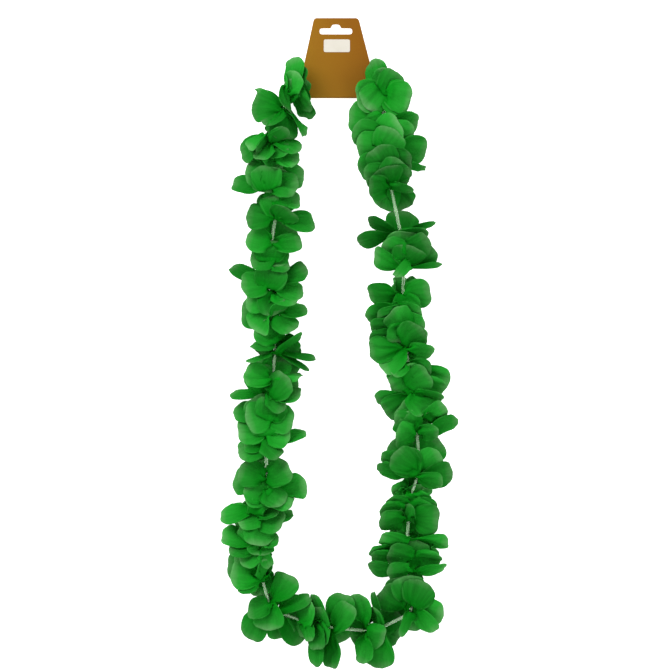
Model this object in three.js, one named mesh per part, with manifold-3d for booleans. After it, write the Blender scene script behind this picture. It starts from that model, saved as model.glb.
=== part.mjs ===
// Artificial flower lei on a folded header card, lying flat on a table.
// Millimetres, +Z up, +Y towards the card. The origin is the middle of the footprint, on the table.
import * as THREE from 'three';
import { mergeVertices } from 'three/addons/utils/BufferGeometryUtils.js';
import Module from 'manifold-3d';

const wasm = await Module();
wasm.setup();

// ---------- driving dimensions ----------
const PETAL_LENGTH = 34; // string to petal end
const PETAL_HALF_WIDTH = 12;
const MAX_SWING = 31; // degrees from a petal's middle line to its widest point
const NOTCH_RADIUS = 8.5; // where two petals part
const LAYER_THICK = 0.9; // one cloth layer with its curl
const HUB_RADIUS = 3.0; // the gathered middle of a flower
const HUB_HOLE = 1.5; // the hole that the string goes through
const STRAW_OUTER = 1.25; // radius
const STRAW_INNER = 0.85;
const STRAW_GAP = 0.35; // between a straw's end and a flower
const STRING_RADIUS = 0.4;
const KNOT_RADIUS = 1.35;
const LOOP_HEIGHT = 15; // the string above the table
const CLEAR = 0.35;
// brings the middle of the footprint to the origin
const SHIFT_X = 2.2757;
const SHIFT_Y = 0.2995;

const CARD_THICK = 0.5;
const CARD_FOLD_Y = 195.6; // lower edge of the card, where it is folded over the string
const CARD_TOP_Y = 260.0;
const CARD_BOTTOM = [-34.2, 31.6]; // left and right ends of the fold
const CARD_TOP = [-20.4, 15.2]; // left and right ends of the top edge
const CARD_CORNER = 2.4;
const FOLD_OUTER = 2.8; // height of the fold
const CARD_TOP_GAP = 0.4; // between the two panels at the top edge
const SLOT_HALF = 13.2; // hang slot
const SLOT_HEIGHT = 5.0;
const SLOT_HUMP_HALF = 3.5;
const SLOT_HUMP_HEIGHT = 3.1;
const SLOT_Y = 246.9; // lower edge of the slot
const SLOT_X = -2.9; // its middle

// Flower middles along the string: x, y, the length of the gathered middle along the string.
const FLOWERS = [
  [-37.4, 200.6, 4.0], [-45.8, 181.8, 5.6], [-54.8, 156.0, 9.6], [-56.4, 129.6, 9.6],
  [-51.6, 104.0, 11.2], [-54.8, 72.0, 9.6], [-56.4, 34.4, 24.0], [-51.6, -3.2, 11.2],
  [-54.0, -36.8, 12.8], [-58.0, -70.4, 22.4], [-58.8, -115.2, 11.2], [-65.2, -137.6, 9.0],
  [-66.0, -162.4, 10.4], [-62.8, -184.8, 9.0], [-52.4, -212.0, 9.0], [-15.6, -225.6, 22.4],
  [27.6, -228.8, 12.0], [57.2, -212.8, 8.0], [54.0, -171.2, 22.4], [56.4, -130.4, 19.2],
  [62.8, -100.0, 14.4], [61.2, -65.6, 12.8], [56.4, -30.4, 24.0], [52.4, 4.0, 19.2],
  [50.8, 32.0, 12.0], [50.0, 72.8, 28.0], [39.6, 133.6, 17.6], [35.6, 165.6, 19.2],
  [35.0, 198.2, 4.0],
];
// The two flowers beside the card lie nearly face up: their own axis and height.
const FIRST = { axis: [0.5, 0.1, -0.86], z: 11.5 };
const LAST = { axis: [-0.42, 0.12, -0.9], z: 11.5 };
const RISE = 1.6; // of the string above them

// ---------- helpers ----------
const V = (x, y, z) => new THREE.Vector3(x, y, z);
function noise(a, b, c) {
  const s = Math.sin(a * 12.9898 + b * 78.233 + c * 37.719 + 4.1) * 43758.5453;
  return (s - Math.floor(s)) * 2 - 1;
}
function volumeOf(g) {
  const p = g.attributes.position, idx = g.index;
  const a = V(), b = V(), c = V();
  let v = 0;
  for (let i = 0; i < idx.count; i += 3) {
    a.fromBufferAttribute(p, idx.getX(i));
    b.fromBufferAttribute(p, idx.getX(i + 1));
    c.fromBufferAttribute(p, idx.getX(i + 2));
    v += a.dot(b.clone().cross(c)) / 6;
  }
  return v;
}
function closed(geometry) {
  const g = geometry.clone();
  for (const k of ['normal', 'uv', 'uv1']) if (g.attributes[k]) g.deleteAttribute(k);
  const m = mergeVertices(g, 1e-4);
  const src = m.index, keep = [];
  for (let i = 0; i < src.count; i += 3) {
    const t = [src.getX(i), src.getX(i + 1), src.getX(i + 2)];
    if (t[0] !== t[1] && t[1] !== t[2] && t[0] !== t[2]) keep.push(...t);
  }
  m.setIndex(keep);
  if (volumeOf(m) < 0) {
    for (let i = 0; i < keep.length; i += 3) [keep[i + 1], keep[i + 2]] = [keep[i + 2], keep[i + 1]];
    m.setIndex(keep);
  }
  return m;
}
function solid(geometry) {
  const g = closed(geometry);
  return new wasm.Manifold(new wasm.Mesh({
    numProp: 3,
    vertProperties: new Float32Array(g.attributes.position.array),
    triVerts: new Uint32Array(g.index.array),
  }));
}
function fromSolid(s) {
  const m = s.getMesh();
  const g = new THREE.BufferGeometry();
  g.setAttribute('position', new THREE.BufferAttribute(new Float32Array(m.vertProperties), 3));
  g.setIndex(Array.from(m.triVerts));
  return g;
}
const root = new THREE.Group();
root.position.set(SHIFT_X, SHIFT_Y, 0);
function add(name, geometry, color, roughness, metalness = 0) {
  geometry.computeVertexNormals();
  const mesh = new THREE.Mesh(geometry, new THREE.MeshStandardMaterial({ color, roughness, metalness }));
  mesh.name = name;
  root.add(mesh);
  return mesh;
}

// ---------- the route of the string ----------
const hubs = FLOWERS.map(([x, y, len], i) => {
  const z = i === 0 ? FIRST.z : i === FLOWERS.length - 1 ? LAST.z : LOOP_HEIGHT + 1.2 * noise(i, 3, 1);
  return { at: V(x, y, z), len };
});
hubs.forEach((h, i) => {
  if (i === 0) h.axis = V(...FIRST.axis).normalize().negate();
  else if (i === hubs.length - 1) h.axis = V(...LAST.axis).normalize();
  else {
    const a = h.at.clone().sub(hubs[i - 1].at).normalize();
    const b = hubs[i + 1].at.clone().sub(h.at).normalize();
    h.axis = a.add(b).normalize();
  }
});
// the string bends only where it has passed through a flower
hubs.forEach((h, i) => {
  const reach = h.len / 2 + LAYER_THICK / 2 + STRAW_GAP;
  // above the two face-up flowers it rises clear of their petals before it turns away
  h.enter = h.at.clone().addScaledVector(h.axis, i === hubs.length - 1 ? -reach - RISE : -reach);
  h.leave = h.at.clone().addScaledVector(h.axis, i === 0 ? reach + RISE : reach);
});

// ---------- string with its knot ----------
class Route extends THREE.Curve {
  constructor(points) { super(); this.points = points; }
  getPoint(t, target = new THREE.Vector3()) {
    const n = this.points.length - 1, f = Math.min(Math.max(t, 0), 1) * n;
    const i = Math.min(Math.floor(f), n - 1);
    return target.copy(this.points[i]).lerp(this.points[i + 1], f - i);
  }
  getPointAt(u, target) { return this.getPoint(u, target); }
  getTangent(t, target = new THREE.Vector3()) {
    const n = this.points.length - 1, k = Math.round(Math.min(Math.max(t, 0), 1) * n);
    const p = this.points[k];
    const a = k > 0 ? p.clone().sub(this.points[k - 1]).normalize() : V(0, 0, 0);
    const b = k < n ? this.points[k + 1].clone().sub(p).normalize() : V(0, 0, 0);
    return target.copy(a.add(b).normalize());
  }
  getTangentAt(u, target) { return this.getTangent(u, target); }
}
const FOLD_AXIS_Y = CARD_FOLD_Y + FOLD_OUTER / 2;
const FOLD_AXIS_Z = FOLD_OUTER / 2;
const knotAt = V(36.2, 197.2, 4.2);
const route = [
  knotAt.clone(), V(35.4, 197.0, 2.4), V(34.0, FOLD_AXIS_Y, 1.6), V(31.0, FOLD_AXIS_Y, FOLD_AXIS_Z),
  V(-33.6, FOLD_AXIS_Y, FOLD_AXIS_Z), V(-36.0, FOLD_AXIS_Y, 1.6), V(-37.2, 197.4, 2.8), V(-37.2, 198.2, 4.6),
  V(-36.4, 199.6, 7.2),
];
hubs.forEach((h) => route.push(h.enter.clone(), h.leave.clone()));
route.push(V(34.2, 198.4, 7.2), V(35.6, 197.4, 5.4), knotAt.clone().add(V(0, 0.05, 0.3)));
const ring = new THREE.Shape();
for (let k = 0; k < 8; k++) {
  const a = (k / 8) * Math.PI * 2;
  if (k) ring.lineTo(STRING_RADIUS * Math.cos(a), STRING_RADIUS * Math.sin(a));
  else ring.moveTo(STRING_RADIUS, 0);
}
ring.closePath();
const stringTube = new THREE.ExtrudeGeometry(ring, {
  steps: route.length - 1, extrudePath: new Route(route), bevelEnabled: false, curveSegments: 1,
});
const knot = new THREE.IcosahedronGeometry(KNOT_RADIUS, 1);
knot.scale(1.15, 0.9, 0.95);
knot.translate(knotAt.x, knotAt.y, knotAt.z);
add('string', fromSolid(solid(stringTube).add(solid(knot))), 0xe9efe6, 0.6);

// ---------- straws between the flowers ----------
for (let i = 0; i + 1 < hubs.length; i++) {
  const start = hubs[i].leave, end = hubs[i + 1].enter;
  const along = end.clone().sub(start);
  const dir = along.clone().normalize();
  // the straw's corner stays clear of the cloth where the string bends
  const cut = 0.15 + STRAW_OUTER * Math.sin(dir.angleTo(hubs[i].axis));
  const cutEnd = 0.15 + STRAW_OUTER * Math.sin(dir.angleTo(hubs[i + 1].axis));
  const length = along.length() - cut - cutEnd;
  along.normalize();
  const profile = [
    [STRAW_INNER, 0], [STRAW_OUTER, 0], [STRAW_OUTER, length], [STRAW_INNER, length], [STRAW_INNER, 0],
  ].map(([r, y]) => new THREE.Vector2(r, y));
  const g = closed(new THREE.LatheGeometry(profile, 8));
  const mesh = add(`straw_${String(i + 1).padStart(2, '0')}`, g, 0xd9e8dc, 0.25);
  mesh.quaternion.setFromUnitVectors(V(0, 1, 0), along);
  mesh.position.copy(start).addScaledVector(along, cut);
}

// ---------- flowers: two five-petal layers on one gathered middle ----------
const PER_PETAL = 5, COLUMNS = 5 * PER_PETAL;
function petalOutline(k, length, half) {
  // points of one petal: along it and across it
  return [
    [null, -1], [0.70 * length, -half], [0.96 * length, -0.52 * half], [0.96 * length, 0.52 * half],
    [0.70 * length, half],
  ][k];
}
// planes that keep flowers apart: through the middle of each straw, and where the string turns a corner also
// between a flower and the next but one
const fences = [], corners = [];
for (let i = 0; i + 1 < hubs.length; i++) {
  const m = hubs[i].leave.clone().add(hubs[i + 1].enter).multiplyScalar(0.5);
  fences.push({ m, s: hubs[i + 1].enter.clone().sub(hubs[i].leave).normalize() });
}
for (let i = 0; i + 2 < hubs.length; i++) {
  const m = hubs[i].leave.clone().add(hubs[i + 2].enter).multiplyScalar(0.5);
  corners.push({ m, s: hubs[i + 2].enter.clone().sub(hubs[i].leave).normalize() });
}
const over = LAYER_THICK / 2 + CLEAR;
// keeps a petal's point on its own side of every fence and over the table: it leans less where that is enough,
// and is shorter where it isn't
function keepIn(radial, rise, hub, w, i) {
  const planes = [];
  for (const [list, back] of [[fences, 1], [corners, 2]]) {
    if (list[i]) {
      const n = list[i].s.clone().negate();
      planes.push([n, n.dot(list[i].m) + over]);
    }
    if (list[i - back]) planes.push([list[i - back].s, list[i - back].s.dot(list[i - back].m) + over]);
  }
  const nearCard = i === 0 || i === hubs.length - 1;
  let lean = 1;
  if (!nearCard) for (const [n, offset] of planes) {
    const room = hub.dot(n) + radial.dot(n) - offset, d = rise * w.dot(n);
    if (room + d < 0 && d < 0) lean = Math.min(lean, Math.max(0.15, -room / d));
  }
  const ray = radial.clone().addScaledVector(w, rise * lean);
  planes.push([V(0, 0, 1), nearCard && hub.y + ray.y > 190 ? 4.8 : Math.abs(w.z) * LAYER_THICK / 2]);
  let k = 1;
  for (const [n, offset] of planes) {
    const room = hub.dot(n) - offset, d = ray.dot(n);
    if (room + d < 0 && d < 0) k = Math.min(k, Math.max(0.2, 5.5 / radial.length(), -room / d));
  }
  return hub.clone().addScaledVector(ray, k);
}
const deg = THREE.MathUtils.degToRad;
hubs.forEach((h, i) => {
  const first = i === 0, last = i === hubs.length - 1;
  // local frame: w along the string, u level, v as nearly up as the string allows
  const w = h.axis.clone();
  const up = first || last ? V(0, 1, 0) : V(0, 0, 1);
  const u = up.clone().cross(w).normalize();
  const v = w.clone().cross(u).normalize();
  const turn = 18 + 30 * noise(i, 1, 9);
  // where the straw passes over a face-up flower, its petals lie lower
  const away = first ? fences[0].s.clone() : fences[fences.length - 1].s.clone().negate();
  const strawSide = Math.atan2(away.dot(v), away.dot(u));
  const layers = [-1, 1].map((side, s) => {
    const mid = side * h.len / 2;
    const hub = h.at.clone().addScaledVector(w, mid);
    const rows = [];
    for (let c = 0; c < COLUMNS; c++) {
      const petal = Math.floor(c / PER_PETAL), k = c % PER_PETAL;
      const azimuth = deg(72 * petal + turn + 36 * s);
      const length = PETAL_LENGTH * (0.97 + 0.05 * noise(i, s, petal));
      const [along, across] = petalOutline(k, length, PETAL_HALF_WIDTH);
      const middle = along === null ? azimuth - Math.PI / 5 : azimuth;
      const lean = first || last ? 0 : deg(30 + 14 * noise(i + 7, s, petal));
      let a = middle, r = NOTCH_RADIUS, rise = side * NOTCH_RADIUS * Math.tan(deg(14));
      if (along !== null) {
        const swing = Math.atan2(across, along * Math.cos(lean));
        a = azimuth + Math.sign(swing) * Math.min(Math.abs(swing), deg(MAX_SWING));
        r = Math.hypot(along * Math.cos(lean), across); rise = side * along * Math.sin(lean);
      }
      if (first || last) {
        const tilt = deg(7 - 15 * Math.cos(a - strawSide));
        rise = (first ? 1 : -1) * r * Math.sin(tilt); r *= Math.cos(tilt);
      }
      const radial = u.clone().multiplyScalar(r * Math.cos(a)).addScaledVector(v, r * Math.sin(a));
      rows.push({ p: keepIn(radial, rise, hub, w, i), a: azimuth - Math.PI / 5 + (k / PER_PETAL) * (Math.PI * 2 / 5) });
    }
    return { mid, rows };
  });
  const half = LAYER_THICK / 2;
  const at = (c, j) => {
    const A = layers[0], B = layers[1];
    const spin = (L, r, w0) => {
      const a = L.rows[c].a;
      return h.at.clone().addScaledVector(w, w0).addScaledVector(u, r * Math.cos(a)).addScaledVector(v, r * Math.sin(a));
    };
    if (j === 0) return spin(A, HUB_HOLE, A.mid - half);
    if (j === 1) return A.rows[c].p.clone().addScaledVector(w, -half);
    if (j === 2) return A.rows[c].p.clone().addScaledVector(w, half);
    if (j === 3) return spin(A, HUB_RADIUS, A.mid + half);
    if (j === 4) return spin(B, HUB_RADIUS, B.mid - half);
    if (j === 5) return B.rows[c].p.clone().addScaledVector(w, -half);
    if (j === 6) return B.rows[c].p.clone().addScaledVector(w, half);
    return spin(B, HUB_HOLE, B.mid + half);
  };
  const profile = [];
  for (let j = 0; j <= 8; j++) profile.push(new THREE.Vector2(2 + Math.cos(j), j));
  const g = new THREE.LatheGeometry(profile, COLUMNS);
  const pos = g.attributes.position;
  for (let c = 0; c <= COLUMNS; c++) {
    for (let j = 0; j <= 8; j++) {
      const p = at(c % COLUMNS, j % 8).sub(h.at);
      pos.setXYZ(c * 9 + j, p.x, p.y, p.z);
    }
  }
  const mesh = add(`flower_${String(i + 1).padStart(2, '0')}`, closed(g), 0x1f8f34, 0.7);
  mesh.position.copy(h.at);
});

// ---------- header card: one sheet, folded at its lower edge over the string ----------
function cardShape(fromY) {
  const h = CARD_TOP_Y - CARD_FOLD_Y;
  const leftAt = (y) => CARD_BOTTOM[0] + (CARD_TOP[0] - CARD_BOTTOM[0]) * (y - CARD_FOLD_Y) / h;
  const rightAt = (y) => CARD_BOTTOM[1] + (CARD_TOP[1] - CARD_BOTTOM[1]) * (y - CARD_FOLD_Y) / h;
  const s = new THREE.Shape();
  s.moveTo(leftAt(fromY), fromY);
  s.lineTo(rightAt(fromY), fromY);
  s.lineTo(rightAt(CARD_TOP_Y - CARD_CORNER), CARD_TOP_Y - CARD_CORNER);
  s.quadraticCurveTo(CARD_TOP[1], CARD_TOP_Y, CARD_TOP[1] - CARD_CORNER, CARD_TOP_Y);
  s.lineTo(CARD_TOP[0] + CARD_CORNER, CARD_TOP_Y);
  s.quadraticCurveTo(CARD_TOP[0], CARD_TOP_Y, leftAt(CARD_TOP_Y - CARD_CORNER), CARD_TOP_Y - CARD_CORNER);
  s.closePath();
  const hole = new THREE.Path();
  const y0 = SLOT_Y, y1 = SLOT_Y + SLOT_HEIGHT, y2 = y1 + SLOT_HUMP_HEIGHT, q = SLOT_HEIGHT / 2;
  hole.moveTo(SLOT_X - SLOT_HALF + q, y0);
  hole.lineTo(SLOT_X + SLOT_HALF - q, y0);
  hole.absarc(SLOT_X + SLOT_HALF - q, y0 + q, q, -Math.PI / 2, Math.PI / 2, false);
  hole.lineTo(SLOT_X + SLOT_HUMP_HALF, y1);
  hole.quadraticCurveTo(SLOT_X + SLOT_HUMP_HALF, y2, SLOT_X, y2);
  hole.quadraticCurveTo(SLOT_X - SLOT_HUMP_HALF, y2, SLOT_X - SLOT_HUMP_HALF, y1);
  hole.lineTo(SLOT_X - SLOT_HALF + q, y1);
  hole.absarc(SLOT_X - SLOT_HALF + q, y0 + q, q, Math.PI / 2, Math.PI * 1.5, false);
  hole.closePath();
  s.holes.push(hole);
  return s;
}
const flat = { depth: CARD_THICK, bevelEnabled: false, curveSegments: 4 };
const foldR = FOLD_OUTER / 2;
const lower = new THREE.ExtrudeGeometry(cardShape(FOLD_AXIS_Y - 0.05), flat);
const upper = new THREE.ExtrudeGeometry(cardShape(FOLD_AXIS_Y - 0.05), flat);
upper.translate(0, -FOLD_AXIS_Y, 0);
upper.rotateX(-Math.atan((FOLD_OUTER - 2 * CARD_THICK - CARD_TOP_GAP) / (CARD_TOP_Y - FOLD_AXIS_Y)));
upper.translate(0, FOLD_AXIS_Y, FOLD_OUTER - CARD_THICK);
// the fold: half a round sleeve, open at both ends
const sleeve = new THREE.Shape();
const arcs = 10;
for (let k = 0; k <= arcs; k++) {
  const a = Math.PI / 2 + (Math.PI * k) / arcs;
  const x = foldR * Math.cos(a), y = foldR * Math.sin(a);
  if (k) sleeve.lineTo(x, y); else sleeve.moveTo(x, y);
}
for (let k = arcs; k >= 0; k--) {
  const a = Math.PI / 2 + (Math.PI * k) / arcs;
  sleeve.lineTo((foldR - CARD_THICK) * Math.cos(a), (foldR - CARD_THICK) * Math.sin(a));
}
sleeve.closePath();
const sleeveG = new THREE.ExtrudeGeometry(sleeve, {
  depth: CARD_BOTTOM[1] - CARD_BOTTOM[0] - 0.8, bevelEnabled: false, curveSegments: 1,
});
// the extrusion runs along +X, with its section's x along +Y and its y along +Z
sleeveG.applyMatrix4(new THREE.Matrix4().makeBasis(V(0, 1, 0), V(0, 0, 1), V(1, 0, 0)));
sleeveG.translate(CARD_BOTTOM[0] + 0.4, FOLD_AXIS_Y, FOLD_AXIS_Z);
add('header_card', fromSolid(solid(lower).add(solid(upper)).add(solid(sleeveG))), 0xd98a2b, 0.55);

export default root;
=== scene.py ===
"""Artificial flower lei on a folded header card, lying flat on a pale floor, seen from straight above."""
import math
import random

import bmesh
import bpy
import numpy as np
from mathutils import Matrix, Vector


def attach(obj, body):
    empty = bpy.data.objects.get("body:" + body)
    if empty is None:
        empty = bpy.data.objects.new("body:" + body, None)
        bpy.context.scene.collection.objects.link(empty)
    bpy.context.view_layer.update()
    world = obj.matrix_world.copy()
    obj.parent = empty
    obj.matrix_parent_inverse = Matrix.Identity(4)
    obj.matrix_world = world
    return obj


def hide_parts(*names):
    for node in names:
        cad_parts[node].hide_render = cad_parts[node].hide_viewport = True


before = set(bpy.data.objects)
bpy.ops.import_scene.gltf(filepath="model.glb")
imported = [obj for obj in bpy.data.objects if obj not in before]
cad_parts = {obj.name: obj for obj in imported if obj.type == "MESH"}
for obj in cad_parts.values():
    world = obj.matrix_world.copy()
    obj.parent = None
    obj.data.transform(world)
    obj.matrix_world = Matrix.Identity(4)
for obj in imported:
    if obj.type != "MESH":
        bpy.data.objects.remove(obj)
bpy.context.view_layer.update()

# ---------------------------------------------------------------- dimensions, in millimetres
SHIFT = np.array([2.2757, 0.2995, 0.0])
PX = 0.8
FLOWERS = [
    (-37.4, 200.6, 4.0), (-45.8, 181.8, 5.6), (-54.8, 156.0, 9.6), (-56.4, 129.6, 9.6),
    (-51.6, 104.0, 11.2), (-54.8, 72.0, 9.6), (-56.4, 34.4, 24.0), (-51.6, -3.2, 11.2),
    (-54.0, -36.8, 12.8), (-58.0, -70.4, 22.4), (-58.8, -115.2, 11.2), (-65.2, -137.6, 9.0),
    (-66.0, -162.4, 10.4), (-62.8, -184.8, 9.0), (-52.4, -212.0, 9.0), (-15.6, -225.6, 22.4),
    (27.6, -228.8, 12.0), (57.2, -212.8, 8.0), (54.0, -171.2, 22.4), (56.4, -130.4, 19.2),
    (62.8, -100.0, 14.4), (61.2, -65.6, 12.8), (56.4, -30.4, 24.0), (52.4, 4.0, 19.2),
    (50.8, 32.0, 12.0), (50.0, 72.8, 28.0), (39.6, 133.6, 17.6), (35.6, 165.6, 19.2),
    (35.0, 198.2, 4.0),
]
COUNT = len(FLOWERS)
LOOP_HEIGHT = 15.0
LAYER_THICK, STRAW_GAP, RISE = 0.9, 0.35, 1.6
STRAW_OUTER, STRAW_INNER = 1.25, 0.95
PETAL_LENGTH, PETAL_HALF = 34.0, 13.6
CLOTH = 0.2
HUB_R = 1.7

# ---------------------------------------------------------------- camera
LENS = 150.0
CAM_XY = np.array([(335 - 339.5) * PX, (342 - 335) * PX]) + SHIFT[:2]
REF_Z = 9.0
CAM_D = LENS / 36.0 * 670 * PX
cam_data = bpy.data.cameras.new("camera")
cam_data.lens = LENS
cam_data.sensor_width = 36.0
cam_data.clip_start = 0.05
cam_data.clip_end = 50
cam = bpy.data.objects.new("camera", cam_data)
bpy.context.scene.collection.objects.link(cam)
cam.location = (CAM_XY[0] / 1000, CAM_XY[1] / 1000, (REF_Z + CAM_D) / 1000)
bpy.context.scene.camera = cam


def at_px(px, py, z=REF_Z):
    """The point at height z that the camera sees at this place of the frame."""
    p = np.array([(px - 339.5) * PX, (342 - py) * PX]) + SHIFT[:2]
    return CAM_XY + (p - CAM_XY) * (CAM_D - (z - REF_Z)) / CAM_D


def unit(v):
    v = np.asarray(v, float)
    return v / max(np.linalg.norm(v), 1e-12)


def hash_noise(a, b, c):
    s = math.sin(a * 12.9898 + b * 78.233 + c * 37.719 + 4.1) * 43758.5453
    return (s - math.floor(s)) * 2 - 1


# ---------------------------------------------------------------- the route of the string
hubs = []
for i, (x, y, length) in enumerate(FLOWERS):
    z = 11.5 if i in (0, COUNT - 1) else LOOP_HEIGHT + 1.2 * hash_noise(i, 3, 1)
    hubs.append({"at": np.array([x, y, z]) + SHIFT, "len": length})
for i, h in enumerate(hubs):
    if i == 0:
        h["axis"] = -unit([0.5, 0.1, -0.86])
    elif i == COUNT - 1:
        h["axis"] = unit([-0.42, 0.12, -0.9])
    else:
        h["axis"] = unit(unit(h["at"] - hubs[i - 1]["at"]) + unit(hubs[i + 1]["at"] - h["at"]))
for i, h in enumerate(hubs):
    reach = h["len"] / 2 + LAYER_THICK / 2 + STRAW_GAP
    h["enter"] = h["at"] + h["axis"] * (-reach - (RISE if i == COUNT - 1 else 0))
    h["leave"] = h["at"] + h["axis"] * (reach + (RISE if i == 0 else 0))
fences = []
for i in range(COUNT - 1):
    m = (hubs[i]["leave"] + hubs[i + 1]["enter"]) / 2
    fences.append((m, unit(hubs[i + 1]["enter"] - hubs[i]["leave"])))

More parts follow.
